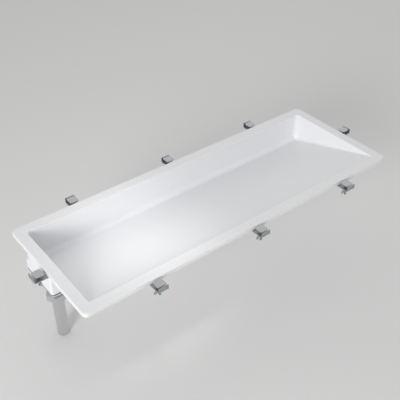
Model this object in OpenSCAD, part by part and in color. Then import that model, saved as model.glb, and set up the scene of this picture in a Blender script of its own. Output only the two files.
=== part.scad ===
// Ramp sink for the underside of a worktop: a long shallow trough whose floor is one plane.
// The plane falls from the front edge to a crease along the upright back wall,
// and a little towards the left end, where a slot under a lift-out cover takes the water.
// Origin: centre of the opening, on the top face of the flange.
// +X runs along the trough, +Y from the front edge to the back wall, +Z up.

/* [Bowl] */
// Length of the opening between the end walls
bowl_l = 900; // [600:10:1200]
// Width of the opening from the front edge to the back wall
bowl_w = 290; // [240:5:360]
// Depth of the crease under the flange at the shallow (right) end
crease_depth = 87; // [70:1:120]
// How much deeper the crease lies at the drain (left) end
crease_fall = 5.5; // [3:0.5:12]
// Depth of the ramp's top edge under the flange at the shallow end
lip_depth = 1.5; // [1:0.5:6]
// Radius of the crease and of the upright back corners
crease_r = 12; // [8:1:18]
// Radius to which the end fillets narrow at the front edge
front_r = 2.5; // [2:0.5:6]
// Wall thickness of the casting
wall = 12; // [9:1:14]

/* [Flange] */
// Width of the flange round the opening
flange_w = 28; // [24:1:40]
// Thickness of the flange
flange_t = 12; // [9:1:16]
// Outer corner radius of the flange
flange_r = 12; // [6:1:20]

/* [Drain slot and cover] */
// Width of the slot
slot_w = 23; // [20:1:26]
// Length of the slot, front to back
slot_l = 103; // [90:1:125]
// Distance of the slot from the end wall and from the back wall
slot_inset = 2; // [1:0.5:4]
// Gap all round the lift-out cover
cover_gap = 2.5; // [2:0.25:3.5]
// Thickness of the lift-out cover
cover_t = 9; // [7:0.5:12]
// Length of the ledge that carries each end of the cover
ledge_l = 12; // [11:0.5:16]
// Radius of the finger notch in the cover's front end
notch_r = 5; // [4:0.5:6]
// Radius of a cover foot
foot_r = 2.5; // [2:0.25:3]
// Thickness of a cover foot
foot_t = 1.5; // [1:0.25:3]
// Radius of the stem that holds a foot in the cover
stem_r = 1.5; // [1:0.25:1.75]
// Length of the stem that holds a foot in the cover
stem_l = 4.5; // [3:0.5:6]

/* [Drain box] */
// Width of the pocket under the slot
pocket_w = 48; // [46:1:60]
// Corner radius of the pocket
pocket_r = 6; // [3:1:10]
// Thickness of the box wall at the front and at the right of the pocket
box_wall = 14; // [13:1:20]
// Thickness of the box under the lowest ledge
box_floor = 10; // [9.5:0.5:16]
// Corner radius of the drain box
box_r = 6; // [3:1:10]
// Radius of a threaded insert
insert_r = 2.8; // [2.7:0.1:3.2]
// Length of a threaded insert
insert_l = 8; // [6:0.5:8.5]

/* [Hopper] */
// Thickness of the hopper's flange
hopper_flange_t = 4; // [3:0.5:6]
// Wall thickness of the hopper
hopper_wall = 2.5; // [2:0.25:3]
// Depth of the hopper
hopper_depth = 46; // [35:1:70]
// Thickness of a rib under the hopper's flange
rib_t = 2; // [1.5:0.25:3]
// Depth of a rib where it meets the funnel
rib_depth = 24; // [15:1:30]
// Thickness of the gasket between the drain box and the hopper
gasket_t = 2; // [1.5:0.5:4]
// Radius of a hopper screw
screw_r = 2; // [1.5:0.25:2.25]
// Radius of a hopper screw's head
screw_head_r = 3.5; // [3:0.25:3.75]
// Height of a hopper screw's head
screw_head_h = 2.6; // [2:0.2:3.2]

/* [Waste connection] */
// Outer radius of the threaded outlet
outlet_r = 20.95; // [20.6:0.05:22]
// Bore radius of the threaded outlet
outlet_bore_r = 17; // [16:0.5:18]
// Length of the threaded outlet
outlet_l = 20; // [16:1:30]
// Outer radius of the tailpiece
tail_r = 15.875; // [15:0.125:16]
// Wall thickness of the tailpiece
tail_wall = 0.9; // [0.7:0.1:1.5]
// Length of the tailpiece under its flange
tail_l = 134; // [80:1:250]
// Thickness of the tailpiece's flange
tail_flange_t = 1.6; // [1.2:0.2:2.4]
// Radius of the rolled bead on the tailpiece
bead_r = 1.2; // [1:0.1:1.6]
// Thickness of the tailpiece seal
seal_t = 2; // [1.5:0.5:3]
// Distance across the flats of the slip nut
nut_af = 50; // [48:1:60]
// Thickness of the lip under the tailpiece's flange
nut_lip = 3; // [2:0.5:5]
// Length of thread that the slip nut grips
nut_grip = 13; // [8:1:15]

/* [Mounting clips] */
// Width of a clip bracket
clip_w = 26; // [20:1:36]
// Thickness of a clip bracket
clip_t = 3; // [2:0.5:4]
// Distance from the flange to the stud
stud_out = 17; // [16:1:24]
// Radius of the stud
stud_r = 3; // [2.5:0.5:4]
// Length of the stud under its plate
stud_l = 34; // [32:1:50]
// Width of the stud's plate
plate_w = 24; // [20:1:26]
// Thickness of the stud's plate
plate_t = 2; // [1.5:0.5:3]
// Outer radius of a clip washer
washer_r = 9; // [8:0.5:11]
// Thickness of a clip washer
washer_t = 1.6; // [1:0.2:2.4]
// Span of a wing nut over its wings
wing_span = 32; // [26:1:40]
// Height of a wing nut's hub
hub_h = 8; // [6:0.5:12]
// Radius of a wing nut's hub
hub_r = 6; // [5.5:0.5:8]

/* [Hidden] */

// Clearances
seat_gap = 0.2;
glue_gap = 0.05;
thread_gap = 0.1;
screw_gap = 0.3;
clip_gap = 3;
plate_gap = 2;

// Facets of the corners of the bowl and of the hopper, and of true circles
form_fn = 32;
$fn = 48;
// Longer than anything that it has to cut through
beyond = 2 * (bowl_l + bowl_w);

// The ramp's plane: how steeply it falls to the back and to the left, and its tilt
back_slope = (crease_depth - lip_depth) / bowl_w;
left_slope = crease_fall / bowl_l;
ramp_turn = [-atan(back_slope * cos(atan(left_slope))), -atan(left_slope), 0];
ramp_steep = sqrt(1 + back_slope * back_slope + left_slope * left_slope);
function ramp_z(x, y) =
  -lip_depth - left_slope * (bowl_l / 2 - x) - back_slope * (y + bowl_w / 2);

// The slot and its cover
slot_r = min(crease_r - slot_inset, slot_w / 2 - 1);
slot_x = -bowl_l / 2 + slot_inset + slot_w / 2;
slot_y = bowl_w / 2 - slot_inset - slot_l / 2;
cover_w = slot_w - 2 * cover_gap;
cover_l = slot_l - 2 * cover_gap;
cover_r = slot_r - cover_gap;
seat_depth = cover_t + foot_t + seat_gap;
foot_x = cover_w / 2 - foot_r - 2;
foot_y = cover_l / 2 - foot_r - 3;

// The pocket under the slot, and the drain box round it
pocket_l = slot_l - 2 * ledge_l;
pocket_x = slot_x - slot_w / 2 + pocket_w / 2;
box_left = -bowl_l / 2 - wall;
box_right = pocket_x + pocket_w / 2 + box_wall;
box_front = slot_y - slot_l / 2 - box_wall;
box_back = bowl_w / 2 + wall;
box_x = (box_left + box_right) / 2;
box_y = (box_front + box_back) / 2;
box_w = box_right - box_left;
box_l = box_back - box_front;
box_z = ramp_z(-bowl_l / 2, bowl_w / 2) - seat_depth * ramp_steep - box_floor;
// The screws stand in the middle of the walls beside the pocket
screw_in_left = (pocket_x - pocket_w / 2 - box_left) / 2;
screw_in_right = box_wall / 2;
screw_in_end = 7;
screw_xs = [box_left + screw_in_left, box_right - screw_in_right];
screw_ys = [box_front + screw_in_end, box_y, box_back - screw_in_end];

// Heights of the hopper and the waste connection
hopper_z = box_z - gasket_t;
hopper_end = hopper_z - hopper_depth;
outlet_z = hopper_end - outlet_l;
tail_z = outlet_z - seal_t;
tail_end = tail_z - tail_flange_t - tail_l;
nut_z = tail_z - tail_flange_t - nut_lip;
bead_z = nut_z - 5;
waste_x = pocket_x;
waste_y = slot_y;
tail_flange_r = outlet_r - 0.5;
// How far a rib stays in from the hopper flange's edge
rib_in = 3;

// Clips, as many along the back as along the front
clips_per_side = 3;
clip_reach = flange_w - wall - clip_gap;
clip_out = stud_out + plate_w / 2 + plate_gap + clip_t;
bend_r = 2;
// Each clip: the middle of the flange's edge, and the turn that points its +X outwards
clip_x = bowl_l / clips_per_side;
side_y = bowl_w / 2 + flange_w;
end_x = bowl_l / 2 + flange_w;
clip_places = [
  [-clip_x, -side_y, -90], [0, -side_y, -90], [clip_x, -side_y, -90],
  [-clip_x, side_y, 90], [0, side_y, 90], [clip_x, side_y, 90],
  [-end_x, 0, 180], [end_x, 0, 0]
];

// A rectangle with round corners, about its centre
module plan(l, w, r) {
  square([l - 2 * r, w], center = true);
  square([l, w - 2 * r], center = true);
  for (sx = [-1, 1], sy = [-1, 1])
    translate([sx * (l / 2 - r), sy * (w / 2 - r)]) circle(r);
}

// The same as a plate whose underside is at z = 0
module plate(l, w, r, h) {
  linear_extrude(h) plan(l, w, r);
}

// The space in the bowl, or, with a thickness to grow by, the skin round it.
// The spheres stand on the ramp's plane: large along the crease, small at the front edge.
module bowl_form(grow = 0) {
  hull()
    for (side = [-1, 1], end = [-1, 1]) {
      r = side > 0 ? crease_r : front_r;
      x = end * (bowl_l / 2 - r);
      y = side * (bowl_w / 2 - r);
      z = ramp_z(x, y) + r * ramp_steep;
      translate([x, y, z]) {
        sphere(r + grow, $fn = form_fn);
        cylinder(r = r + grow, h = wall - z + crease_r, $fn = form_fn);
      }
    }
}

// Puts its children on the ramp at x, y, with their +Z square to the ramp
module on_ramp(x, y) {
  translate([x, y, ramp_z(x, y)]) rotate(ramp_turn) children();
}

// Everything that lies deeper than depth under the ramp
module under_ramp(depth) {
  on_ramp(slot_x, slot_y)
    translate([0, 0, -depth - beyond / 2]) cube(beyond, center = true);
}

// The way of the water: the slot down to its ledges, the throat between them, the pocket
module drain_way() {
  difference() {
    translate([slot_x, slot_y, box_z]) plate(slot_w, slot_l, slot_r, -box_z);
    under_ramp(seat_depth);
  }
  translate([slot_x, slot_y, 0])
    cube([slot_w, pocket_l, -2 * box_z + 2], center = true);
  intersection() {
    translate([pocket_x, slot_y, box_z - 1]) plate(pocket_w, pocket_l, pocket_r, -box_z);
    under_ramp(wall);
  }
}

// Puts its children at each hopper screw, at height z
module at_screws(z) {
  for (x = screw_xs, y = screw_ys)
    translate([x, y, z]) children();
}

// The one-piece casting: flange, bowl and drain box
module basin() {
  color("white") difference() {
    union() {
      translate([0, 0, -flange_t])
        plate(bowl_l + 2 * flange_w, bowl_w + 2 * flange_w, flange_r, flange_t);
      intersection() {
        bowl_form(wall);
        translate([0, 0, -beyond / 2]) cube(beyond, center = true);
      }
      intersection() {
        translate([box_x, box_y, box_z]) plate(box_w, box_l, box_r, -box_z);
        // Up to where the casting's lower edges begin to round
        under_ramp(-crease_r);
      }
    }
    bowl_form();
    drain_way();
    at_screws(box_z - 1) cylinder(r = insert_r + glue_gap, h = insert_l + 1.5);
  }
}

// Brass inserts glued into the drain box from below
module sump_inserts() {
  color("goldenrod") at_screws(box_z) difference() {
    cylinder(r = insert_r, h = insert_l);
    translate([0, 0, -1]) cylinder(r = screw_r + glue_gap, h = insert_l + 2);
  }
}

module sump_gasket() {
  color("dimgray") difference() {
    translate([box_x, box_y, hopper_z]) plate(box_w, box_l, box_r, gasket_t);
    translate([pocket_x, slot_y, hopper_z - 1])
      plate(pocket_w, pocket_l, pocket_r, gasket_t + 2);
    at_screws(hopper_z - 1) cylinder(r = screw_r + screw_gap, h = gasket_t + 2);
  }
}

// A funnel from the pocket's outline to the round outlet, larger all round by grow
module funnel(grow, end_r, z_top, z_end) {
  hull() {
    translate([pocket_x, slot_y, z_top - 1]) linear_extrude(1)
      plan(pocket_w + 2 * grow, pocket_l + 2 * grow, pocket_r + grow, $fn = form_fn);
    translate([waste_x, waste_y, z_end]) cylinder(r = end_r, h = 1, $fn = form_fn);
  }
}

// Two ribs on each side of the funnel, from the flange's edge down to the funnel's wall
module hopper_ribs() {
  reach = [box_right - waste_x, box_back - waste_y, waste_x - box_left, waste_y - box_front];
  for (i = [0 : 3], side = [-1, 1]) {
    out = reach[i] - rib_in;
    apart = (i % 2 == 0 ? pocket_l * 0.3 : pocket_w * 0.25) * side;
    translate([waste_x, waste_y, hopper_z - hopper_flange_t]) rotate([0, 0, 90 * i])
      translate([0, apart + rib_t / 2, 0]) rotate([90, 0, 0]) linear_extrude(rib_t)
        polygon([[0, 1], [out, 1], [out, -rib_t], [out / 2, -rib_depth], [0, -rib_depth]]);
  }
}

module sump_hopper() {
  color("gainsboro") difference() {
    union() {
      hopper_ribs();
      translate([box_x, box_y, hopper_z - hopper_flange_t])
        plate(box_w, box_l, box_r, hopper_flange_t);
      funnel(hopper_wall, outlet_r, hopper_z, hopper_end);
      translate([waste_x, waste_y, outlet_z]) cylinder(r = outlet_r, h = outlet_l + 2);
    }
    funnel(0, outlet_bore_r, hopper_z + 1, hopper_end + hopper_wall);
    translate([waste_x, waste_y, outlet_z - 1]) cylinder(r = outlet_bore_r, h = outlet_l + 8);
    at_screws(hopper_z - hopper_flange_t - 1)
      cylinder(r = screw_r + screw_gap, h = hopper_flange_t + 2);
  }
}

module sump_screws() {
  color("silver") at_screws(hopper_z - hopper_flange_t) difference() {
    union() {
      translate([0, 0, -screw_head_h]) cylinder(r = screw_head_r, h = screw_head_h);
      translate([0, 0, -screw_head_h])
        cylinder(r = screw_r, h = screw_head_h + hopper_flange_t + gasket_t + insert_l - 1);
    }
    // Hexagon socket
    translate([0, 0, -screw_head_h - 1])
      cylinder(r = screw_head_r * 0.45, h = screw_head_h * 0.6 + 1, $fn = 6);
  }
}

module tailpiece_seal() {
  color("dimgray") translate([waste_x, waste_y, tail_z]) difference() {
    cylinder(r = tail_flange_r, h = seal_t);
    translate([0, 0, -1]) cylinder(r = tail_r, h = seal_t + 2);
  }
}

// Flanged tube for the trap, with a rolled bead that keeps the nut up when it is slack
module tailpiece() {
  color("silver") translate([waste_x, waste_y, 0]) difference() {
    union() {
      translate([0, 0, tail_z - tail_flange_t])
        cylinder(r = tail_flange_r, h = tail_flange_t);
      translate([0, 0, tail_end]) cylinder(r = tail_r, h = tail_z - tail_end);
      translate([0, 0, bead_z]) rotate_extrude() translate([tail_r, 0]) circle(bead_r);
    }
    translate([0, 0, tail_end - 1]) cylinder(r = tail_r - tail_wall, h = tail_z - tail_end + 2);
  }
}

module slip_nut() {
  nut_h = outlet_z + nut_grip - nut_z;
  corner_r = nut_af / sqrt(3);
  color("silver") translate([waste_x, waste_y, nut_z]) difference() {
    intersection() {
      cylinder(r = corner_r, h = nut_h, $fn = 6);
      // Chamfers turned on the corners at both ends
      cylinder(r1 = corner_r - 2, r2 = corner_r - 2 + nut_h, h = nut_h);
      cylinder(r1 = corner_r - 2 + nut_h, r2 = corner_r - 2, h = nut_h);
    }
    translate([0, 0, nut_lip]) cylinder(r = outlet_r + thread_gap, h = nut_h);
    translate([0, 0, -1]) cylinder(r = tail_r + screw_gap, h = nut_h);
  }
}

// The cover's top goes on from the floor and its fillets; a gap runs all round it
module drain_cover() {
  color("white") difference() {
    translate([slot_x, slot_y, box_z]) plate(cover_w, cover_l, cover_r, -box_z);
    under_ramp(cover_t);
    bowl_form();
    translate([slot_x, slot_y - cover_l / 2, box_z]) cylinder(r = notch_r, h = -box_z);
    at_feet() translate([0, 0, -cover_t - 1]) cylinder(r = stem_r + glue_gap, h = stem_l + 1.5);
  }
}

// Puts its children on the ramp over each foot of the cover
module at_feet() {
  for (sx = [-1, 1], sy = [-1, 1])
    on_ramp(slot_x + sx * foot_x, slot_y + sy * foot_y) children();
}

module cover_feet() {
  color("lightgray") at_feet() translate([0, 0, -cover_t]) {
    translate([0, 0, -foot_t]) cylinder(r = foot_r, h = foot_t);
    translate([0, 0, -foot_t]) cylinder(r = stem_r, h = foot_t + stem_l);
  }
}

// Puts its children at clip i, at the flange's edge, with +X pointing outwards
module at_clip(i) {
  p = clip_places[i];
  translate([p[0], p[1], 0]) rotate([0, 0, p[2]]) children();
}

// Side view of a bracket: an arm under the flange and a leg up to the worktop's underside
module bracket_profile() {
  arm_end = clip_out - clip_t - bend_r;
  translate([-clip_reach, -flange_t - clip_t]) square([clip_reach + arm_end, clip_t]);
  translate([clip_out - clip_t, -flange_t + bend_r])
    square([clip_t, flange_t - bend_r]);
  translate([arm_end, -flange_t + bend_r]) intersection() {
    difference() {
      circle(bend_r + clip_t);
      circle(bend_r);
    }
    translate([0, -bend_r - clip_t]) square(bend_r + clip_t);
  }
}

module clip_bracket(i) {
  color("silver") at_clip(i) difference() {
    translate([0, clip_w / 2, 0]) rotate([90, 0, 0]) linear_extrude(clip_w) bracket_profile();
    // Slotted hole, so that the bracket can be pushed in under the flange
    for (dx = [-2, 2])
      translate([stud_out + dx, 0, -flange_t - clip_t - 1])
        cylinder(r = stud_r + screw_gap, h = clip_t + 2);
    translate([stud_out, 0, -flange_t - clip_t / 2])
      cube([4, 2 * (stud_r + screw_gap), clip_t + 2], center = true);
  }
}

// A plate to bond to the worktop's underside, with its stud
module clip_studs() {
  color("silver") for (i = [0 : len(clip_places) - 1])
    at_clip(i) translate([stud_out, 0, 0]) {
      translate([0, 0, -plate_t]) plate(plate_w, plate_w, 4, plate_t);
      translate([0, 0, -plate_t - stud_l]) cylinder(r = stud_r, h = stud_l + plate_t);
    }
}

module clip_washers() {
  color("silver") for (i = [0 : len(clip_places) - 1])
    at_clip(i) translate([stud_out, 0, -flange_t - clip_t - washer_t]) difference() {
      cylinder(r = washer_r, h = washer_t);
      translate([0, 0, -1]) cylinder(r = stud_r + screw_gap, h = washer_t + 2);
    }
}

// One wing, from the hub outwards and down, seen from the side
module wing_profile() {
  difference() {
    union() {
      translate([wing_span / 2 - 4.5, -hub_h]) circle(4.5);
      polygon([
        [0, -1], [hub_r, -1], [wing_span / 2 - 1.2, -hub_h + 3],
        [wing_span / 2 - 6, -hub_h - 4], [hub_r * 0.5, -hub_h], [0, -hub_h]
      ]);
    }
    translate([-wing_span, -1]) square(2 * wing_span);
  }
}

module clip_wing_nuts() {
  color("silver") for (i = [0 : len(clip_places) - 1])
    at_clip(i) translate([stud_out, 0, -flange_t - clip_t - washer_t]) difference() {
      union() {
        translate([0, 0, -hub_h]) cylinder(r1 = hub_r - 1, r2 = hub_r, h = hub_h);
        // The wings stand across the bracket
        for (turn = [90, 270])
          rotate([0, 0, turn]) translate([0, 1.1, 0]) rotate([90, 0, 0])
            linear_extrude(2.2) wing_profile();
      }
      translate([0, 0, -hub_h - 1]) cylinder(r = stud_r + glue_gap, h = hub_h + 2);
    }
}

basin();
sump_inserts();
sump_gasket();
sump_hopper();
sump_screws();
tailpiece_seal();
tailpiece();
slip_nut();
drain_cover();
cover_feet();
clip_bracket(0);  // clip_front_left
clip_bracket(1);  // clip_front_middle
clip_bracket(2);  // clip_front_right
clip_bracket(3);  // clip_back_left
clip_bracket(4);  // clip_back_middle
clip_bracket(5);  // clip_back_right
clip_bracket(6);  // clip_end_left
clip_bracket(7);  // clip_end_right
clip_studs();
clip_washers();
clip_wing_nuts();
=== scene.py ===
import math

import bmesh
import bpy
from mathutils import Matrix, Vector


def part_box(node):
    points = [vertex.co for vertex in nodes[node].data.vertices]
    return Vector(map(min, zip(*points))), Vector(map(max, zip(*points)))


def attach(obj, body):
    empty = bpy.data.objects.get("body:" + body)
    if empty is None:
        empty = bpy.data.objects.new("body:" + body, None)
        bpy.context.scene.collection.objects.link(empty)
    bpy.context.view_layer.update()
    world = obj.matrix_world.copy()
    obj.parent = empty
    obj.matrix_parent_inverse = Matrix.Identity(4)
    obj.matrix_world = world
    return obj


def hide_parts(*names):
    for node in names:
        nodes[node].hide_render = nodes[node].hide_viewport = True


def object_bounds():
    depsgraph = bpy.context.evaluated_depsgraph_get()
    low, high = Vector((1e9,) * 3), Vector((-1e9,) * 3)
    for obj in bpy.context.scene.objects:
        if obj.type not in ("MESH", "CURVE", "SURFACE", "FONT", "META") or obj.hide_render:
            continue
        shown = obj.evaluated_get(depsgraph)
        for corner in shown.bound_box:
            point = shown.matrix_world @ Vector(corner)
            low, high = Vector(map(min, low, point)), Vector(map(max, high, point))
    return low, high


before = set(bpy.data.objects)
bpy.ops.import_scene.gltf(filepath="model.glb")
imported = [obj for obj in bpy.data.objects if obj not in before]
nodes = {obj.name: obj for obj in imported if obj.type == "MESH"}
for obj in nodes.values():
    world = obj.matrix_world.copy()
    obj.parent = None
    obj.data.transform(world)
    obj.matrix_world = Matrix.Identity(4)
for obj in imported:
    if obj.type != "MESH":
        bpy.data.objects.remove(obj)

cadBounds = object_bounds()
mm = 0.001
scene = bpy.context.scene
print("frame loaded:", len(nodes), "CAD nodes")

# points this near are one point: in a new skin, after a boolean, and before edges are rounded
samePoint = {"skin": 0.002 * mm, "edge": 0.0001 * mm, "boolean": 0.001 * mm, "rounding": 0.01 * mm}
# how far a tool or a rib runs past the face that it meets, and the segments of a rounded edge
past = 1 * mm
edgeSegments = 3
# a rectangle's corners, counter-clockwise: the signs of x and y, and where the arc starts
corners = [(1, -1, -90), (1, 1, 0), (-1, 1, 90), (-1, -1, 180)]


# small helpers that build and join meshes
def arcSteps(start, end, steps):
    # angles in radians from start to end, both in degrees and both included
    return [math.radians(start + (end - start) * k / steps) for k in range(steps + 1)]


def arcPoints(u, v, radius, start, end, steps):
    # points (u, v) of an arc about its centre
    return [(u + radius * math.cos(a), v + radius * math.sin(a)) for a in arcSteps(start, end, steps)]


def skinRings(rings, loop=False):
    # joins closed rings of equal length, and caps the first and the last unless they meet
    mesh = bmesh.new()
    grid = [[mesh.verts.new(point) for point in ring] for ring in rings]
    count = len(rings[0])
    for i in range(len(grid) if loop else len(grid) - 1):
        near, far = grid[i], grid[(i + 1) % len(grid)]
        for j in range(count):
            k = (j + 1) % count
            mesh.faces.new((near[j], near[k], far[k], far[j]))
    if not loop:
        mesh.faces.new(reversed(grid[0]))
        mesh.faces.new(grid[-1])
    bmesh.ops.remove_doubles(mesh, verts=mesh.verts, dist=samePoint["skin"])
    bmesh.ops.dissolve_degenerate(mesh, edges=mesh.edges, dist=samePoint["edge"])
    bmesh.ops.recalc_face_normals(mesh, faces=mesh.faces)
    return mesh


def toObject(mesh, name):
    data = bpy.data.meshes.new(name)
    mesh.to_mesh(data)
    mesh.free()
    item = bpy.data.objects.new(name, data)
    scene.collection.objects.link(item)
    return item


def combine(target, tool, operation):
    # UNION, DIFFERENCE or INTERSECT with a tool mesh, applied at once
    toolObject = toObject(tool, "tool")
    modifier = target.modifiers.new("combine", "BOOLEAN")
    modifier.solver = "EXACT"
    modifier.operation = operation
    modifier.object = toolObject
    graph = bpy.context.evaluated_depsgraph_get()
    result = bpy.data.meshes.new_from_object(target.evaluated_get(graph))
    target.modifiers.clear()
    old = target.data
    target.data = result
    bpy.data.meshes.remove(old)
    bpy.data.objects.remove(toolObject)


def bevelEdges(mesh, edges, width):
    bmesh.ops.bevel(mesh, geom=edges, offset=width, segments=edgeSegments, profile=0.5,
                    affect="EDGES", clamp_overlap=True)


def roundEdges(item, width, chosen):
    # rounds the edges that chosen(edge) picks, on the mesh itself
    mesh = bmesh.new()
    mesh.from_mesh(item.data)
    bmesh.ops.remove_doubles(mesh, verts=mesh.verts, dist=samePoint["rounding"])
    bevelEdges(mesh, [e for e in mesh.edges if e.is_manifold and chosen(e)], width)
    mesh.to_mesh(item.data)
    mesh.free()


def weighNormals(item):
    # normals that keep big faces flat
    item.modifiers.new("weightedNormals", "WEIGHTED_NORMAL").keep_sharp = True


def smoothShade(item, sharpAngle):
    # smooth faces, and sharp edges above the angle
    mesh = bmesh.new()
    mesh.from_mesh(item.data)
    # a boolean can leave two points where there should be one
    bmesh.ops.remove_doubles(mesh, verts=mesh.verts, dist=samePoint["boolean"])
    limit = math.radians(sharpAngle)
    for face in mesh.faces:
        face.smooth = True
    for edge in mesh.edges:
        edge.smooth = not (edge.is_manifold and edge.calc_face_angle(0) > limit)
    mesh.to_mesh(item.data)
    mesh.free()
    weighNormals(item)


def roundedPlan(halfX, halfY, radius, centreX=0, centreY=0, perCorner=8):
    # a rectangle with round corners, counter-clockwise from the bottom of its lower right corner
    points = []
    for sx, sy, start in corners:
        cx, cy = sx * (halfX - radius), sy * (halfY - radius)
        for angle in arcSteps(start, start + 90, perCorner):
            points.append(Vector((cx + radius * math.cos(angle), cy + radius * math.sin(angle), 0)))
    return [p + Vector((centreX, centreY, 0)) for p in points]


def atHeight(points, z):
    # z is a number, or a function of x and y
    return [Vector((p.x, p.y, z(p.x, p.y) if callable(z) else z)) for p in points]


def column(plan, low, high):
    return skinRings([atHeight(plan, low), atHeight(plan, high)])


def plateRings(planAt, top, bottom, soft, steps):
    # rings round both rims of a flat plate. planAt(inset) gives its outline
    rings = []
    for base, start, stop in ((top - soft, 90, 0), (bottom + soft, 0, -90)):
        for angle in arcSteps(start, stop, steps):
            rings.append(atHeight(planAt(soft - soft * math.cos(angle)), base + soft * math.sin(angle)))
    return rings


def lathe(profile, steps, centre=(0, 0), loop=True):
    # profile of (radius, height) turned about an upright axis
    turns = arcSteps(0, 360, steps)[:-1]
    return skinRings([[Vector((centre[0] + r * math.cos(a), centre[1] + r * math.sin(a), z))
                       for a in turns] for r, z in profile], loop)


def rod(radius, start, end, steps, centre=(0, 0)):
    return lathe([(radius, start), (radius, end)], steps, centre, loop=False)


def insetOutline(points, amount):
    # moves each point of a closed outline of (u, v) inwards, square to its two sides, and at a
    # sharp corner by no more than twice the amount
    spots = [Vector(p) for p in points]
    area = sum(a.x * b.y - b.x * a.y for a, b in zip(spots, spots[1:] + spots[:1]))
    moved = []
    for k, spot in enumerate(spots):
        before = (spot - spots[k - 1]).normalized()
        after = (spots[(k + 1) % len(spots)] - spot).normalized()
        inward = Vector((-before.y - after.y, before.x + after.x)).normalized()
        if area < 0:
            inward.negate()
        lean = max(0.5, abs(inward.x * -before.y + inward.y * before.x))
        moved.append(spot + inward * amount / lean)
    return moved


def softPlate(points, depth, soft, steps=4):
    # a plate of this depth along Y from an outline of (u, v), with all its rims rounded
    rings = []
    for sign, start, stop in ((-1, 0, 90), (1, 90, 0)):
        for angle in arcSteps(start, stop, steps):
            side = sign * (depth / 2 - soft + soft * math.cos(angle))
            ring = insetOutline(points, soft - soft * math.sin(angle))
            rings.append([Vector((p.x, side, p.y)) for p in ring])
    return skinRings(rings)


def prism(points, depth):
    # extrudes a flat outline of (u, v) by depth along Y
    return skinRings([[Vector((u, side, v)) for u, v in points] for side in (-depth / 2, depth / 2)])


def addMesh(target, source):
    # adds a copy of one bmesh to another
    data = bpy.data.meshes.new("part")
    source.to_mesh(data)
    target.from_mesh(data)
    bpy.data.meshes.remove(data)


def copies(source, places):
    # one mesh with a copy of source at each matrix
    together = bmesh.new()
    for place in places:
        one = source.copy()
        one.transform(place)
        addMesh(together, one)
        one.free()
    source.free()
    return together


def meshOf(item):
    mesh = bmesh.new()
    mesh.from_mesh(item.data)
    bpy.data.objects.remove(item)
    return mesh


def dress(item, material, slotName, body, *replaced, sharpAngle=40):
    smoothShade(item, sharpAngle)
    item.data.materials.clear()
    item.data.materials.append(material)
    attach(item, body)
    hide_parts(*replaced)
    print("made", item.name, "with", len(item.data.vertices), "vertices")


# colours and shader nodes
def linearColour(hexCode):
    parts = [int(hexCode[i:i + 2], 16) / 255 for i in (0, 2, 4)]
    return [c / 12.92 if c <= 0.04045 else ((c + 0.055) / 1.055) ** 2.4 for c in parts] + [1.0]


def addNode(material, kind, settings=None, links=None):
    # settings go to the node's sockets by name or number, otherwise to its properties
    node = material.node_tree.nodes.new(kind)
    for key, value in (settings or {}).items():
        if isinstance(key, int) or key in node.inputs:
            node.inputs[key].default_value = value
        else:
            setattr(node, key, value)
    for socket, source in (links or {}).items():
        material.node_tree.links.new(source, node.inputs[socket])
    return node


def newMaterial(name, hexCode, roughness, metallic=0.0, ior=None):
    material = bpy.data.materials.new(name)
    material.use_nodes = True
    shader = material.node_tree.nodes["Principled BSDF"]
    shader.inputs["Base Color"].default_value = linearColour(hexCode)
    shader.inputs["Roughness"].default_value = roughness
    shader.inputs["Metallic"].default_value = metallic
    if ior:
        shader.inputs["IOR"].default_value = ior
    place = addNode(material, "ShaderNodeTexCoord").outputs["Object"]
    return material, shader, place


def connect(material, source, shader, socket):
    material.node_tree.links.new(source, shader.inputs[socket])


def castSolidSurface():
    # acrylic solid surface: cast, then sanded to a satin. The filler gives a faint cloudy
    # mottling, and the sanding a soft sheen that changes a little from patch to patch
    material, shader, place = newMaterial("castSolidSurface", "EDEEF0", 0.36, ior=1.5)
    # cloudiness of the filler, about 7 mm: the grains are far finer than the render shows
    clouds = addNode(material, "ShaderNodeTexNoise", {"Scale": 1 / (7 * mm), "Detail": 3.0},
                     {"Vector": place}).outputs["Fac"]
    colour = addNode(material, "ShaderNodeMix", {"data_type": "RGBA", 6: linearColour("ECEDEF"),
                     7: linearColour("EFF0F2")}, {0: clouds}).outputs[2]
    connect(material, colour, shader, "Base Color")
    # patches left by the sander, about 60 mm
    patches = addNode(material, "ShaderNodeTexNoise", {"Scale": 1 / (60 * mm), "Detail": 2.0},
                      {"Vector": place}).outputs["Fac"]
    sheen = addNode(material, "ShaderNodeMapRange", {"To Min": 0.33, "To Max": 0.40},
                    {"Value": patches}).outputs["Result"]
    connect(material, sheen, shader, "Roughness")
    # sanding marks are 0.03 mm apart, drawn at 0.5 mm so that they show at all
    marks = addNode(material, "ShaderNodeTexNoise", {"Scale": 1 / (0.5 * mm), "Detail": 2.0},
                    {"Vector": place}).outputs["Fac"]
    bump = addNode(material, "ShaderNodeBump", {"Strength": 0.06, "Distance": 0.02 * mm},
                   {"Height": marks}).outputs["Normal"]
    connect(material, bump, shader, "Normal")
    return material


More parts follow.
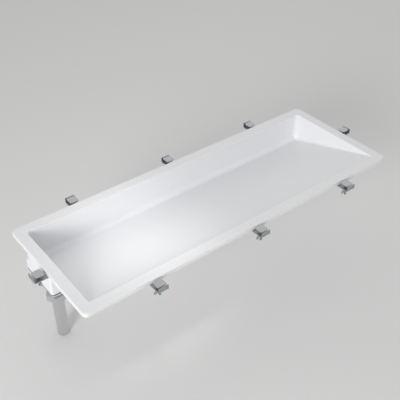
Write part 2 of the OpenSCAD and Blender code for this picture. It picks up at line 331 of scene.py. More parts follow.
def mouldedAbs():
    # injection-moulded ABS: even grey with a fine spark-eroded texture and weak flow marks
    material, shader, place = newMaterial("mouldedAbs", "C9CBCC", 0.5, ior=1.53)
    flow = addNode(material, "ShaderNodeTexNoise", {"Scale": 1 / (18 * mm), "Detail": 2.0,
                   "Distortion": 0.8}, {"Vector": place}).outputs["Fac"]
    colour = addNode(material, "ShaderNodeMix", {"data_type": "RGBA", 6: linearColour("C4C6C8"),
                     7: linearColour("CDCFD0")}, {0: flow}).outputs[2]
    connect(material, colour, shader, "Base Color")
    # the eroded grain is 0.05 mm, drawn at 0.4 mm
    grain = addNode(material, "ShaderNodeTexNoise", {"Scale": 1 / (0.4 * mm), "Detail": 1.0},
                    {"Vector": place}).outputs["Fac"]
    bump = addNode(material, "ShaderNodeBump", {"Strength": 0.25, "Distance": 0.05 * mm},
                   {"Height": grain}).outputs["Normal"]
    connect(material, bump, shader, "Normal")
    return material


def mouldedEpdm():
    # moulded EPDM rubber: soot black, matt, with a greyish bloom in patches
    material, shader, place = newMaterial("mouldedEpdm", "1E1E1F", 0.78, ior=1.5)
    bloom = addNode(material, "ShaderNodeTexNoise", {"Scale": 1 / (9 * mm), "Detail": 4.0},
                    {"Vector": place}).outputs["Fac"]
    colour = addNode(material, "ShaderNodeMix", {"data_type": "RGBA", 6: linearColour("1A1A1B"),
                     7: linearColour("2A2A2B")}, {0: bloom}).outputs[2]
    connect(material, colour, shader, "Base Color")
    # the mould's grain is 0.1 mm, drawn at 0.6 mm
    grain = addNode(material, "ShaderNodeTexNoise", {"Scale": 1 / (0.6 * mm)},
                    {"Vector": place}).outputs["Fac"]
    bump = addNode(material, "ShaderNodeBump", {"Strength": 0.3, "Distance": 0.05 * mm},
                   {"Height": grain}).outputs["Normal"]
    connect(material, bump, shader, "Normal")
    return material


def castSilicone():
    # clear grey silicone rubber: soft, slightly see-through, matt
    material, shader, place = newMaterial("castSilicone", "BEC0C2", 0.55, ior=1.41)
    haze = addNode(material, "ShaderNodeTexNoise", {"Scale": 1 / (2 * mm)},
                   {"Vector": place}).outputs["Fac"]
    colour = addNode(material, "ShaderNodeMix", {"data_type": "RGBA", 6: linearColour("B9BBBD"),
                     7: linearColour("C6C8CA")}, {0: haze}).outputs[2]
    connect(material, colour, shader, "Base Color")
    shader.inputs["Subsurface Weight"].default_value = 0.2
    shader.inputs["Subsurface Scale"].default_value = 1 * mm
    return material


def polishedChrome():
    # brass, polished and chrome-plated: a mirror with a very faint haze from the polishing
    material, shader, place = newMaterial("polishedChrome", "D6D8DA", 0.03, metallic=1.0)
    haze = addNode(material, "ShaderNodeTexNoise", {"Scale": 1 / (14 * mm), "Detail": 3.0},
                   {"Vector": place}).outputs["Fac"]
    sheen = addNode(material, "ShaderNodeMapRange", {"To Min": 0.02, "To Max": 0.06},
                    {"Value": haze}).outputs["Result"]
    connect(material, sheen, shader, "Roughness")
    return material


def turnedBrass():
    # free-cutting brass, turned and knurled: yellow, with fine tool lines round the axis
    material, shader, place = newMaterial("turnedBrass", "C9A55A", 0.3, metallic=1.0)
    # a wave of this size has a line every tau / 20 of it, here 1.9 mm: the real tool lines,
    # 0.3 mm apart, would be too fine to show
    lines = addNode(material, "ShaderNodeTexWave", {"bands_direction": "Z",
                    "Scale": 1 / (6 * mm), "Distortion": 1.5}, {"Vector": place}).outputs["Fac"]
    colour = addNode(material, "ShaderNodeMix", {"data_type": "RGBA", 6: linearColour("BF9A50"),
                     7: linearColour("D3B068")}, {0: lines}).outputs[2]
    connect(material, colour, shader, "Base Color")
    return material


def stainlessSteel():
    # cold-headed stainless steel: grey, satin, slightly darker where the lubricant was
    material, shader, place = newMaterial("stainlessSteel", "B9BABB", 0.28, metallic=1.0)
    stains = addNode(material, "ShaderNodeTexNoise", {"Scale": 1 / (3 * mm), "Detail": 2.0},
                     {"Vector": place}).outputs["Fac"]
    colour = addNode(material, "ShaderNodeMix", {"data_type": "RGBA", 6: linearColour("ACADAE"),
                     7: linearColour("C2C3C4")}, {0: stains}).outputs[2]
    connect(material, colour, shader, "Base Color")
    return material


def brightZincPlate():
    # mild steel, zinc-plated and passivated: bluish white with a faint yellow and blue bloom
    material, shader, place = newMaterial("brightZincPlate", "BFC3C9", 0.3, metallic=1.0)
    bloom = addNode(material, "ShaderNodeTexNoise", {"Scale": 1 / (6 * mm), "Detail": 2.0},
                    {"Vector": place}).outputs["Fac"]
    colour = addNode(material, "ShaderNodeMix", {"data_type": "RGBA", 6: linearColour("B4BAC4"),
                     7: linearColour("CCCBC4")}, {0: bloom}).outputs[2]
    connect(material, colour, shader, "Base Color")
    sheen = addNode(material, "ShaderNodeMapRange", {"To Min": 0.24, "To Max": 0.4},
                    {"Value": bloom}).outputs["Result"]
    connect(material, sheen, shader, "Roughness")
    return material


def galvanisedStrip():
    # hot-dip galvanised strip, pressed: crystal spangle, each grain with its own grey
    material, shader, place = newMaterial("galvanisedStrip", "B0B4B8", 0.42, metallic=1.0)
    # spangle grains about 5 mm across
    grains = addNode(material, "ShaderNodeTexVoronoi", {"Scale": 1 / (5 * mm)},
                     {"Vector": place}).outputs["Color"]
    grey = addNode(material, "ShaderNodeSeparateColor", {}, {"Color": grains}).outputs["Red"]
    colour = addNode(material, "ShaderNodeMix", {"data_type": "RGBA", 6: linearColour("A9AEB2"),
                     7: linearColour("B8BCC0")}, {0: grey}).outputs[2]
    connect(material, colour, shader, "Base Color")
    sheen = addNode(material, "ShaderNodeMapRange", {"To Min": 0.38, "To Max": 0.46},
                    {"Value": grey}).outputs["Result"]
    connect(material, sheen, shader, "Roughness")
    return material


solidSurface = castSolidSurface()
greyAbs = mouldedAbs()
epdm = mouldedEpdm()
silicone = castSilicone()
chrome = polishedChrome()
brass = turnedBrass()
stainless = stainlessSteel()
zinc = brightZincPlate()
galvanised = galvanisedStrip()
print("materials ready")


# the cast basin with its drain box
basin = {
    "flangeWidth": 28 * mm, "flangeThick": 12 * mm, "flangeCorner": 12 * mm, "wall": 12 * mm,
    "creaseDepth": 87 * mm, "creaseFall": 5.5 * mm, "lipDepth": 1.5 * mm,
    "creaseRadius": 12 * mm, "frontRadius": 2.5 * mm,
    "rimRound": 0.8 * mm, "edgeRound": 1.5 * mm, "rootFillet": 4 * mm,
    "cornerSteps": 10, "filletSteps": 14, "roundSteps": 4, "sideSpacing": 25 * mm,
    "formTop": 20 * mm,
}
basinLow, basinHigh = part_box("basin")
halfLength = basinHigh.x - basin["flangeWidth"]
halfWidth = basinHigh.y - basin["flangeWidth"]
backSlope = (basin["creaseDepth"] - basin["lipDepth"]) / (2 * halfWidth)
leftSlope = basin["creaseFall"] / (2 * halfLength)
rampSteep = math.sqrt(1 + backSlope ** 2 + leftSlope ** 2)
rampNormal = Vector((-leftSlope, backSlope, 1)) / rampSteep


def rampHeight(x, y):
    return -basin["lipDepth"] - leftSlope * (halfLength - x) - backSlope * (y + halfWidth)


def underRamp(depth):
    # height of the plane that lies this deep under the ramp, square to it
    return lambda x, y: rampHeight(x, y) - depth * rampSteep


def rimStations():
    # places round the opening: the ball that rounds the floor there, its radius, the way
    # outwards, and the centre from which the flange's own corner is drawn
    places = []

    def ball(sx, sy):
        radius = basin["creaseRadius"] if sy > 0 else basin["frontRadius"]
        x, y = sx * (halfLength - radius), sy * (halfWidth - radius)
        outer = Vector((sx * (basinHigh.x - basin["flangeCorner"]),
                        sy * (basinHigh.y - basin["flangeCorner"]), 0))
        return Vector((x, y, rampHeight(x, y) + radius * rampSteep)), radius, outer

    for index, (sx, sy, start) in enumerate(corners):
        centre, radius, outer = ball(sx, sy)
        for angle in arcSteps(start, start + 90, basin["cornerSteps"]):
            places.append((centre, radius, Vector((math.cos(angle), math.sin(angle), 0)), outer))
        nx, ny, _ = corners[(index + 1) % 4]
        nextCentre, nextRadius, nextOuter = ball(nx, ny)
        out = places[-1][2]
        steps = round((nextCentre - centre).length / basin["sideSpacing"])
        for k in range(1, steps):
            t = k / steps
            places.append((centre.lerp(nextCentre, t), radius + (nextRadius - radius) * t, out,
                           outer.lerp(nextOuter, t)))
    return places


def floorToPlane(centre, radius, out, plane, fillet):
    # from where the ball touches the ramp, round it and up the wall, to a flat plane that
    # it meets with a rounding. Near the front edge the two roundings meet in an S
    down = -rampNormal
    turn = out.angle(down)
    tilt = math.asin(max(0.0, centre.z - plane + fillet) / (radius + fillet))
    reach = (radius + fillet) * math.cos(tilt)
    points = []
    for k in range(basin["filletSteps"], -1, -1):
        v = tilt / turn + (1 - tilt / turn) * k / basin["filletSteps"]
        way = (out * math.sin((1 - v) * turn) + down * math.sin(v * turn)) / math.sin(turn)
        points.append(centre + radius * way)
    for angle in arcSteps(180 - math.degrees(tilt), 90, basin["roundSteps"]):
        spot = centre + out * (reach + fillet * math.cos(angle))
        points.append(Vector((spot.x, spot.y, plane - fillet + fillet * math.sin(angle))))
    return points


def basinProfile(centre, radius, out, outer):
    # one closed section: the bowl, the flange's top, its edge, its underside, the outside
    thick, corner, edge = basin["flangeThick"], basin["flangeCorner"], basin["edgeRound"]
    points = floorToPlane(centre, radius, out, 0.0, basin["rimRound"])
    for base, sign in ((-edge, 1), (edge - thick, -1)):
        angles = arcSteps(90, 0, basin["roundSteps"])
        for angle in angles if sign > 0 else reversed(angles):
            spot = outer + out * (corner - edge + edge * math.cos(angle))
            points.append(Vector((spot.x, spot.y, base + sign * edge * math.sin(angle))))
    points += reversed(floorToPlane(centre, radius + basin["wall"], out, -thick, basin["rootFillet"]))
    return points


def bowlForm(grow=0.0):
    # the space in the bowl, up past the flange, or that space grown into the wall
    rings = []
    for centre, radius, out, _ in rimStations():
        points = floorToPlane(centre, radius + grow, out, basin["formTop"], 0.0)
        points = points[:basin["filletSteps"] + 1]
        top = points[-1].copy()
        top.z = basin["formTop"]
        rings.append(points + [top])
    return skinRings([list(ring) for ring in zip(*rings)])


drain = {
    "slotWidth": 23 * mm, "slotLength": 103 * mm, "slotInset": 2 * mm, "slotCorner": 10 * mm,
    "coverGap": 2.5 * mm, "coverThick": 9 * mm, "seatDepth": 10.7 * mm, "ledge": 12 * mm,
    "pocketWidth": 48 * mm, "pocketCorner": 6 * mm, "boxWall": 14 * mm, "boxCorner": 6 * mm,
    "notchRadius": 5 * mm, "edgeRound": 0.8 * mm, "boxEdge": 1.5 * mm,
    "insertRadius": 2.8 * mm, "insertLength": 8 * mm, "screwInEnd": 7 * mm, "glue": 0.05 * mm,
    "holeDepth": 8.5 * mm, "flush": 0.04 * mm, "throatCorner": 0.4 * mm,
    # heights to which the cutting tools reach, clear above the ramp, and how far below the box
    "slotTop": -5 * mm, "throatTop": -6 * mm, "throatPast": 5 * mm, "pocketPast": 4 * mm,
    # edges to round are sharper than these angles, and the slot's rim is between a depth under
    # the ramp and a height
    "rimAngle": 40, "coverAngle": 35, "rimDepth": 1 * mm, "rimTop": -20 * mm,
    "slotSteps": 8, "throatSteps": 2, "coverSteps": 10, "holeSteps": 24, "notchSteps": 40,
}
slotX = -halfLength + drain["slotInset"] + drain["slotWidth"] / 2
slotY = halfWidth - drain["slotInset"] - drain["slotLength"] / 2
pocketLength = drain["slotLength"] - 2 * drain["ledge"]
pocketX = slotX - drain["slotWidth"] / 2 + drain["pocketWidth"] / 2
boxZ = basinLow.z
boxLeft = -halfLength - basin["wall"]
boxRight = pocketX + drain["pocketWidth"] / 2 + drain["boxWall"]
boxFront = slotY - drain["slotLength"] / 2 - drain["boxWall"]
boxBack = halfWidth + basin["wall"]
boxX, boxY = (boxLeft + boxRight) / 2, (boxFront + boxBack) / 2
boxHalfX, boxHalfY = (boxRight - boxLeft) / 2, (boxBack - boxFront) / 2
wasteX, wasteY = pocketX, slotY
screwXs = [(boxLeft + pocketX - drain["pocketWidth"] / 2) / 2, boxRight - drain["boxWall"] / 2]
screwYs = [boxFront + drain["screwInEnd"], boxY, boxBack - drain["screwInEnd"]]
screwPlaces = [(x, y) for x in screwXs for y in screwYs]


def boxPlan(inset, perCorner=8):
    return roundedPlan(boxHalfX - inset, boxHalfY - inset, drain["boxCorner"] - inset, boxX, boxY,
                       perCorner)


def drainBox():
    # the block under the slot, with a rounded lower edge and a sloping top. Its sides stay a
    # hair inside the trough's, so that no two faces coincide
    edge, flush = drain["boxEdge"], drain["flush"]
    rings = []
    for angle in arcSteps(-90, 0, basin["roundSteps"]):
        plan = boxPlan(edge - edge * math.cos(angle) + flush)
        rings.append(atHeight(plan, boxZ + edge + edge * math.sin(angle)))
    rings.append(atHeight(boxPlan(flush), underRamp(-basin["creaseRadius"])))
    return skinRings(rings)


def slotPlan(gap, perCorner):
    return roundedPlan(drain["slotWidth"] / 2 - gap, drain["slotLength"] / 2 - gap,
                       drain["slotCorner"] - gap, slotX, slotY, perCorner)


def slotTool():
    return column(slotPlan(0, drain["slotSteps"]), underRamp(drain["seatDepth"]), drain["slotTop"])


def throatTool():
    plan = roundedPlan(drain["slotWidth"] / 2, pocketLength / 2, drain["throatCorner"], slotX, slotY,
                       drain["throatSteps"])
    return column(plan, boxZ - drain["throatPast"], drain["throatTop"])


def pocketTool():
    plan = roundedPlan(drain["pocketWidth"] / 2, pocketLength / 2, drain["pocketCorner"], pocketX, slotY)
    return column(plan, boxZ - drain["pocketPast"], underRamp(basin["wall"]))


sections = [basinProfile(*station) for station in rimStations()]
basinCasting = toObject(skinRings([list(ring) for ring in zip(*sections)]), "basinCasting")
boxObject = toObject(drainBox(), "box")
combine(boxObject, bowlForm(basin["wall"] / 2), "DIFFERENCE")
combine(basinCasting, meshOf(boxObject), "UNION")
for tool in (slotTool, throatTool, pocketTool):
    combine(basinCasting, tool(), "DIFFERENCE")
for x, y in screwPlaces:
    hole = rod(drain["insertRadius"] + drain["glue"], boxZ - past, boxZ + drain["holeDepth"],
               drain["holeSteps"], (x, y))
    combine(basinCasting, hole, "DIFFERENCE")


def slotRim(edge):
    # sharp edges of the slot, where it breaks through the floor
    a, b = (v.co for v in edge.verts)
    middle = (a + b) / 2
    return (edge.calc_face_angle(0) > math.radians(drain["rimAngle"])
            and middle.x < boxRight and middle.y > boxFront and middle.z < drain["rimTop"]
            and middle.z > rampHeight(middle.x, middle.y) - drain["rimDepth"])


roundEdges(basinCasting, drain["edgeRound"], slotRim)
dress(basinCasting, solidSurface, "basin_solid_surface", "root", "basin")


# the lift-out bar over the slot, cut to the floor's own shape
drainCover = toObject(column(slotPlan(drain["coverGap"], drain["coverSteps"]),
                             underRamp(drain["coverThick"]), drain["slotTop"]), "drainCover")
combine(drainCover, bowlForm(), "DIFFERENCE")
notchY = slotY - drain["slotLength"] / 2 + drain["coverGap"]
notch = rod(drain["notchRadius"], boxZ, 0, drain["notchSteps"], (slotX, notchY))
combine(drainCover, notch, "DIFFERENCE")
roundEdges(drainCover, drain["edgeRound"],
           lambda edge: edge.calc_face_angle(0) > math.radians(drain["coverAngle"]))
dress(drainCover, solidSurface, "basin_solid_surface", "cover", "drain_cover")


# the moulded hopper under the drain box
hopper = {
    "flange": 4 * mm, "wall": 2.5 * mm, "depth": 46 * mm, "gasket": 2 * mm, "edge": 0.8 * mm,
    "outletRadius": 20.95 * mm, "outletBore": 17 * mm, "outletLength": 20 * mm,
    "threadPitch": 2.309 * mm, "threadDepth": 1.3 * mm, "threadFade": 1.5 * mm,
    "collar": 2.5 * mm, "outletChamfer": 1.5 * mm, "screwHole": 2.3 * mm, "borePast": 3 * mm,
    "ribThick": 2 * mm, "ribDepth": 24 * mm, "ribIn": 3 * mm, "ribStart": 13.5 * mm,
    # where the pairs of ribs stand, as a share of the pocket's length and of its width
    "ribShares": (0.3, 0.25), "ribRound": 0.5 * mm, "ribShortEdge": 5 * mm,
    # the 2 mm fillet under the flange: share of the way down the funnel, mm out, mm down
    "fillet": ((0.09, 2.0, 0.0), (0.095, 1.1, 0.25), (0.11, 0.4, 0.8), (0.135, 0.05, 2.0)),
    # the funnel's rows are counted from a share of the way down, and the fillet takes the first
    "funnelLead": 0.04, "funnelRows": 20, "funnelFirst": 4, "boreRows": 12, "edgeSteps": 3,
    "perCorner": 16, "rowsPerTurn": 8, "holeSteps": 24,
}
hopperZ = boxZ - hopper["gasket"]
hopperEnd = hopperZ - hopper["depth"]
outletZ = hopperEnd - hopper["outletLength"]
headZ = hopperZ - hopper["flange"]


def threadDip(height, angle, piece):
    # how far a screw thread lies in from its crest, with small flats on crest and root
    steep, flat = 1.3, 0.15
    turn = (height / piece["threadPitch"] - angle / math.tau) % 1.0
    return piece["threadDepth"] * min(1.0, max(0.0, abs(2 * turn - 1) * steep - flat))


def funnelPlan(share, grow, end):
    # outline of the funnel from the pocket (share 0) to the round outlet (share 1)
    def mix(pocket, outlet):
        return pocket + (outlet - pocket) * share

    return roundedPlan(mix(drain["pocketWidth"] / 2 + grow, end), mix(pocketLength / 2 + grow, end),
                       mix(drain["pocketCorner"] + grow, end), wasteX, wasteY, hopper["perCorner"])


def hopperOutside():
    rings = plateRings(lambda inset: boxPlan(inset, hopper["perCorner"]), hopperZ, headZ,
                       hopper["edge"], hopper["edgeSteps"])
    for share, out, drop in hopper["fillet"]:
        rings.append(atHeight(funnelPlan(share, hopper["wall"] + out * mm, hopper["outletRadius"]),
                              headZ - drop * mm))
    lead, rows = hopper["funnelLead"], hopper["funnelRows"]
    for k in range(hopper["funnelFirst"], rows + 1):
        share = lead + (1 - lead) * k / rows
        rings.append(atHeight(funnelPlan(share, hopper["wall"], hopper["outletRadius"]),
                              hopperZ - share * hopper["depth"]))
    # the outlet's thread begins under a plain collar and ends in a chamfer. A small circle
    # gives the directions
    rows = int(hopper["outletLength"] / hopper["threadPitch"] * hopper["rowsPerTurn"])
    circle = funnelPlan(1.0, 0, 1.0 * mm)
    for k in range(1, rows + 1):
        height = hopper["outletLength"] * k / rows
        fade = min(1.0, max(0.0, (height - hopper["collar"]) / hopper["threadFade"]))
        taper = max(0.0, height - hopper["outletLength"] + hopper["outletChamfer"])
        ring = []
        for p in circle:
            way = Vector((p.x - wasteX, p.y - wasteY, 0)).normalized()
            angle = math.atan2(way.y, way.x)
            dip = threadDip(height, angle, hopper) * fade
            spot = way * (hopper["outletRadius"] - max(dip, taper))
            ring.append(Vector((wasteX + spot.x, wasteY + spot.y, hopperEnd - height)))
        rings.append(ring)
    return skinRings(rings)


def hopperInside():
    rings = [atHeight(funnelPlan(0.0, 0, hopper["outletBore"]), hopperZ + hopper["borePast"])]
    end = hopperEnd + hopper["wall"]
    for k in range(hopper["boreRows"] + 1):
        share = k / hopper["boreRows"]
        rings.append(atHeight(funnelPlan(share, 0, hopper["outletBore"]),
                              hopperZ + (end - hopperZ) * share))
    rings.append(atHeight(funnelPlan(1.0, 0, hopper["outletBore"]), outletZ - hopper["borePast"]))
    return skinRings(rings)


def hopperRibs():
    # two on each side of the funnel, with their tops a little way into the flange
    reach = [boxRight - wasteX, boxBack - wasteY, wasteX - boxLeft, wasteY - boxFront]
    spreads = [pocketLength * hopper["ribShares"][0], drain["pocketWidth"] * hopper["ribShares"][1]]
    start = hopper["ribStart"]
    ribs = []
    for i in range(4):
        out, spread = reach[i] - hopper["ribIn"], spreads[i % 2]
        outline = [(start, past), (out, past), (out, -hopper["ribThick"]),
                   (out / 2, -hopper["ribDepth"]), (start, -hopper["ribDepth"])]
        for side in (-1, 1):
            place = (Matrix.Translation((wasteX, wasteY, headZ))
                     @ Matrix.Rotation(math.radians(90 * i), 4, "Z")
                     @ Matrix.Translation((0, spread * side, 0)))
            rib = prism(outline, hopper["ribThick"])
            free = [e for e in rib.edges if max(v.co.z for v in e.verts) < 0
                    and min(v.co.x for v in e.verts) > start
                    and e.calc_length() > hopper["ribShortEdge"]]
            bevelEdges(rib, free, hopper["ribRound"])
            rib.transform(place)
            ribs.append(rib)
    return ribs


hopperMoulding = toObject(hopperOutside(), "hopperMoulding")
for rib in hopperRibs():
    combine(hopperMoulding, rib, "UNION")
combine(hopperMoulding, hopperInside(), "DIFFERENCE")
for x, y in screwPlaces:
    hole = rod(hopper["screwHole"], hopperZ + past, headZ - past, hopper["holeSteps"], (x, y))
    combine(hopperMoulding, hole, "DIFFERENCE")
dress(hopperMoulding, greyAbs, "abs_hopper", "root", "sump_hopper", sharpAngle=35)


# screws up through the hopper into brass inserts
screw = {"radius": 2 * mm, "headRadius": 3.5 * mm, "headHeight": 2.6 * mm, "round": 0.4 * mm,
         "socketFlats": 1.36 * mm, "socketDepth": 1.56 * mm, "socketCone": 0.5 * mm,
         "chamfer": 0.2 * mm, "tip": 0.5 * mm, "shortOfInsert": 1 * mm, "headSteps": 4, "steps": 36}


def circleRing(radius, z, steps):
    return [Vector((radius * math.cos(a), radius * math.sin(a), z)) for a in arcSteps(0, 360, steps)[:-1]]


def hexRing(flats, z, steps):
    # a hexagon by its distance from centre to flats, with as many points as a circle
    ring = []
    for a in arcSteps(0, 360, steps)[:-1]:
        radius = flats / math.cos((a % (math.pi / 3)) - math.pi / 6)
        ring.append(Vector((radius * math.cos(a), radius * math.sin(a), z)))
    return ring


def screwMesh():
    # from the tip down to the head, round its edge and up into the socket
    steps, r, head, flats = screw["steps"], screw["radius"], screw["headRadius"], screw["socketFlats"]
    tip, chamfer, soft = screw["tip"], screw["chamfer"], screw["round"]
    top = hopper["flange"] + hopper["gasket"] + drain["insertLength"] - screw["shortOfInsert"]
    bottom = -screw["headHeight"]
    socketEnd = bottom + screw["socketDepth"]
    rings = [circleRing(r - tip, top, steps), circleRing(r, top - tip, steps),
             circleRing(r, 0.0, steps), circleRing(head - chamfer, 0.0, steps),
             circleRing(head, -chamfer, steps)]
    for radius, z in arcPoints(head - soft, bottom + soft, soft, 0, -90, screw["headSteps"]):
        rings.append(circleRing(radius, z, steps))
    rings += [hexRing(flats + chamfer, bottom, steps), hexRing(flats, bottom + chamfer, steps),
              hexRing(flats, socketEnd, steps),
              circleRing(chamfer, socketEnd + screw["socketCone"], steps)]
    return skinRings(rings)


hopperScrews = toObject(copies(screwMesh(), [Matrix.Translation((x, y, headZ)) for x, y in screwPlaces]),
                        "hopperScrews")
dress(hopperScrews, stainless, "stainless_steel", "root", "sump_screws", sharpAngle=35)


insert = {
    "bore": 2.05 * mm, "knurls": 16, "perKnurl": 3,
    # rings from end to end: share of the length, depth of the knurl in mm, mm in from the radius
    "bands": ((0, 0, 0.2), (0.04, 0.18, 0), (0.42, 0.18, 0), (0.45, 0, 0.4),
              (0.55, 0, 0.4), (0.58, 0.18, 0), (0.96, 0.18, 0), (1, 0, 0.2)),
}


def insertMesh():
    # two knurled bands with a plain groove between them
    perKnurl = insert["perKnurl"]
    steps = insert["knurls"] * perKnurl
    rings = []
    for share, knurl, inset in insert["bands"]:
        ring = []
        for k, a in enumerate(arcSteps(0, 360, steps)[:-1]):
            radius = drain["insertRadius"] - inset * mm - knurl * mm * (k % perKnurl == 0)
            ring.append(Vector((radius * math.cos(a), radius * math.sin(a),
                                share * drain["insertLength"])))
        rings.append(ring)
    rings += [circleRing(insert["bore"], z, steps) for z in (drain["insertLength"], 0)]
    return skinRings(rings, loop=True)


knurledInserts = toObject(copies(insertMesh(), [Matrix.Translation((x, y, boxZ)) for x, y in screwPlaces]),
                          "knurledInserts")
dress(knurledInserts, brass, "brass", "root", "sump_inserts", sharpAngle=25)


# the tube to the trap and its nut
tail = {
    "radius": 15.875 * mm, "wall": 0.9 * mm, "flangeRadius": 20.45 * mm, "flange": 1.6 * mm,
    "seal": 2 * mm, "discRound": 0.4 * mm, "formRadius": 1 * mm, "beadRadius": 1.2 * mm,
    "beadHollow": 0.8 * mm, "beadUnderNut": 5 * mm, "endIn": 0.2 * mm, "endUp": 0.3 * mm,
    # the bead's own arc ends a little short of its hollows
    "beadArc": 80, "discSteps": 3, "formSteps": 4, "beadSteps": 8, "hollowSteps": 3, "steps": 96,
}
nut = {
    "flats": 50 * mm, "lip": 3 * mm, "grip": 13 * mm, "clearance": 0.1 * mm,
    "lipClearance": 0.3 * mm, "cornerWear": 0.3 * mm, "chamferIn": 0.6 * mm, "chamferAngle": 30,
    # cones that open the lip's hole and the thread's mouth
    "lipOut": 0.9 * mm, "lipUp": 0.4 * mm, "mouthOut": 1.1 * mm, "mouthDown": 0.6 * mm,
    "conePast": 0.5 * mm,
}
tailZ = outletZ - tail["seal"]
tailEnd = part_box("tailpiece")[0].z
nutZ = tailZ - tail["flange"] - nut["lip"]
beadZ = nutZ - tail["beadUnderNut"]


def tailProfile():
    outer, inner, disc = tail["radius"], tail["radius"] - tail["wall"], tail["flangeRadius"]
    soft, turn, under = tail["discRound"], tail["formRadius"], tailZ - tail["flange"]
    points = [(inner + soft, tailZ)]
    points += arcPoints(disc - soft, tailZ - soft, soft, 90, 0, tail["discSteps"])
    points += arcPoints(disc - soft, under + soft, soft, 0, -90, tail["discSteps"])
    # the tube is formed out of the disc with a small radius
    points += arcPoints(outer + turn, under - turn, turn, 90, 180, tail["formSteps"])
    # the rolled bead, with small hollows above and below it
    bead, hollow = tail["beadRadius"], tail["beadHollow"]
    rise = math.sqrt((bead + hollow) ** 2 - hollow ** 2)
    lean = math.degrees(math.asin(hollow / (bead + hollow)))
    half = tail["beadArc"] - lean
    points += arcPoints(outer + hollow, beadZ + rise, hollow, 180, 270 - lean, tail["hollowSteps"])
    points += arcPoints(outer, beadZ, bead, half, -half, tail["beadSteps"])
    points += arcPoints(outer + hollow, beadZ - rise, hollow, 90 + lean, 180, tail["hollowSteps"])
    endIn, endUp = tail["endIn"], tail["endUp"]
    points += [(outer, tailEnd + endUp), (outer - endIn, tailEnd), (inner + endIn, tailEnd),
               (inner, tailEnd + endUp), (inner, tailZ - soft)]
    return points


tailpieceTube = toObject(lathe(tailProfile(), tail["steps"], (wasteX, wasteY)), "tailpieceTube")
dress(tailpieceTube, chrome, "chromed_brass", "root", "tailpiece", sharpAngle=50)


def slipNutMesh():
    # a hexagon bar, turned at both ends: the chamfers cut the flats in shallow arcs
    flats, height = nut["flats"] / 2, outletZ + nut["grip"] - nutZ
    worn = flats / math.cos(math.pi / 6) - nut["cornerWear"]
    start = flats - nut["chamferIn"]
    rise = (worn - start) * math.tan(math.radians(nut["chamferAngle"]))
    bar = [Vector((math.cos(a), math.sin(a), 0)) * flats / math.cos(math.pi / 6)
           for a in arcSteps(0, 360, 6)[:-1]]
    blank = toObject(column(bar, -past, height + past), "nutBlank")
    turned = lathe([(start, 0), (worn, rise), (worn, height - rise), (start, height)],
                   tail["steps"], loop=False)
    combine(blank, turned, "INTERSECT")
    bore = hopper["outletRadius"] + nut["clearance"]
    lipBore = tail["radius"] + nut["lipClearance"]
    inside = lathe([(lipBore + nut["lipOut"], -nut["conePast"]), (lipBore, nut["lipUp"]),
                    (lipBore, nut["lip"]), (bore, nut["lip"]), (bore, height - nut["mouthDown"]),
                    (bore + nut["mouthOut"], height + nut["conePast"])], tail["steps"], loop=False)
    combine(blank, inside, "DIFFERENCE")
    mesh = meshOf(blank)
    mesh.transform(Matrix.Translation((wasteX, wasteY, nutZ)))
    return mesh


slipNut = toObject(slipNutMesh(), "slipNut")
dress(slipNut, chrome, "chromed_brass", "root", "slip_nut", sharpAngle=25)


# the mounting clips: where they stand, and the sizes that their pieces share
clip = {"perSide": 3, "studOut": 17 * mm, "studRadius": 3 * mm, "bracketThick": 3 * mm,
        "washer": 1.6 * mm, "hubHeight": 8 * mm}
wingTop = -basin["flangeThick"] - clip["bracketThick"] - clip["washer"]
clipStep = 2 * halfLength / clip["perSide"]
clipSpots = [(x * clipStep, side * basinHigh.y, side * 90) for side in (-1, 1) for x in (-1, 0, 1)]
clipSpots += [(-basinHigh.x, 0, 180), (basinHigh.x, 0, 0)]
clipNames = ["front_left", "front_middle", "front_right", "back_left", "back_middle", "back_right",
             "end_left", "end_right"]
clipPlaces = [Matrix.Translation((x, y, 0)) @ Matrix.Rotation(math.radians(turn), 4, "Z")
              for x, y, turn in clipSpots]
studPlaces = [place @ Matrix.Translation((clip["studOut"], 0, 0)) for place in clipPlaces]


bracket = {
    "width": 26 * mm, "reach": 13 * mm, "out": 34 * mm, "bend": 2 * mm, "edge": 0.5 * mm,
    "cut": 0.4 * mm, "holeRadius": 3.3 * mm, "holeTravel": 2 * mm, "outerSteps": 10, "innerSteps": 8,
}


def bracketMesh():
    # a strip bent up at its outer end, its sheared edges broken, with a slotted hole
    low, thick, cut = -basin["flangeThick"], clip["bracketThick"], bracket["cut"]
    out, reach, bend = bracket["out"], bracket["reach"], bracket["bend"]
    outer = bend + thick
    armEnd = out - thick - bend
    turnZ = low + bend
    outline = [(-reach + cut, low - thick)]
    outline += arcPoints(armEnd, turnZ, outer, -90, 0, bracket["outerSteps"])
    outline += [(out, -cut), (out - cut, 0), (out - thick + cut, 0), (out - thick, -cut)]
    outline += arcPoints(armEnd, turnZ, bend, 0, -90, bracket["innerSteps"])
    outline += [(-reach + cut, low), (-reach, low - cut), (-reach, low - thick + cut)]
    strip = toObject(softPlate(outline, bracket["width"], bracket["edge"]), "strip")
    hole = roundedPlan(bracket["holeRadius"] + bracket["holeTravel"], bracket["holeRadius"],
                       bracket["holeRadius"], clip["studOut"])
    combine(strip, column(hole, low - thick - past, low + past), "DIFFERENCE")
    return meshOf(strip)


bracketShape = bracketMesh()
for clipName, place in zip(clipNames, clipPlaces):
    oneBracket = toObject(copies(bracketShape.copy(), [place]), "bracket_" + clipName)
    dress(oneBracket, galvanised, "galvanised_strip", "root", "clip_" + clipName, sharpAngle=35)
bracketShape.free()


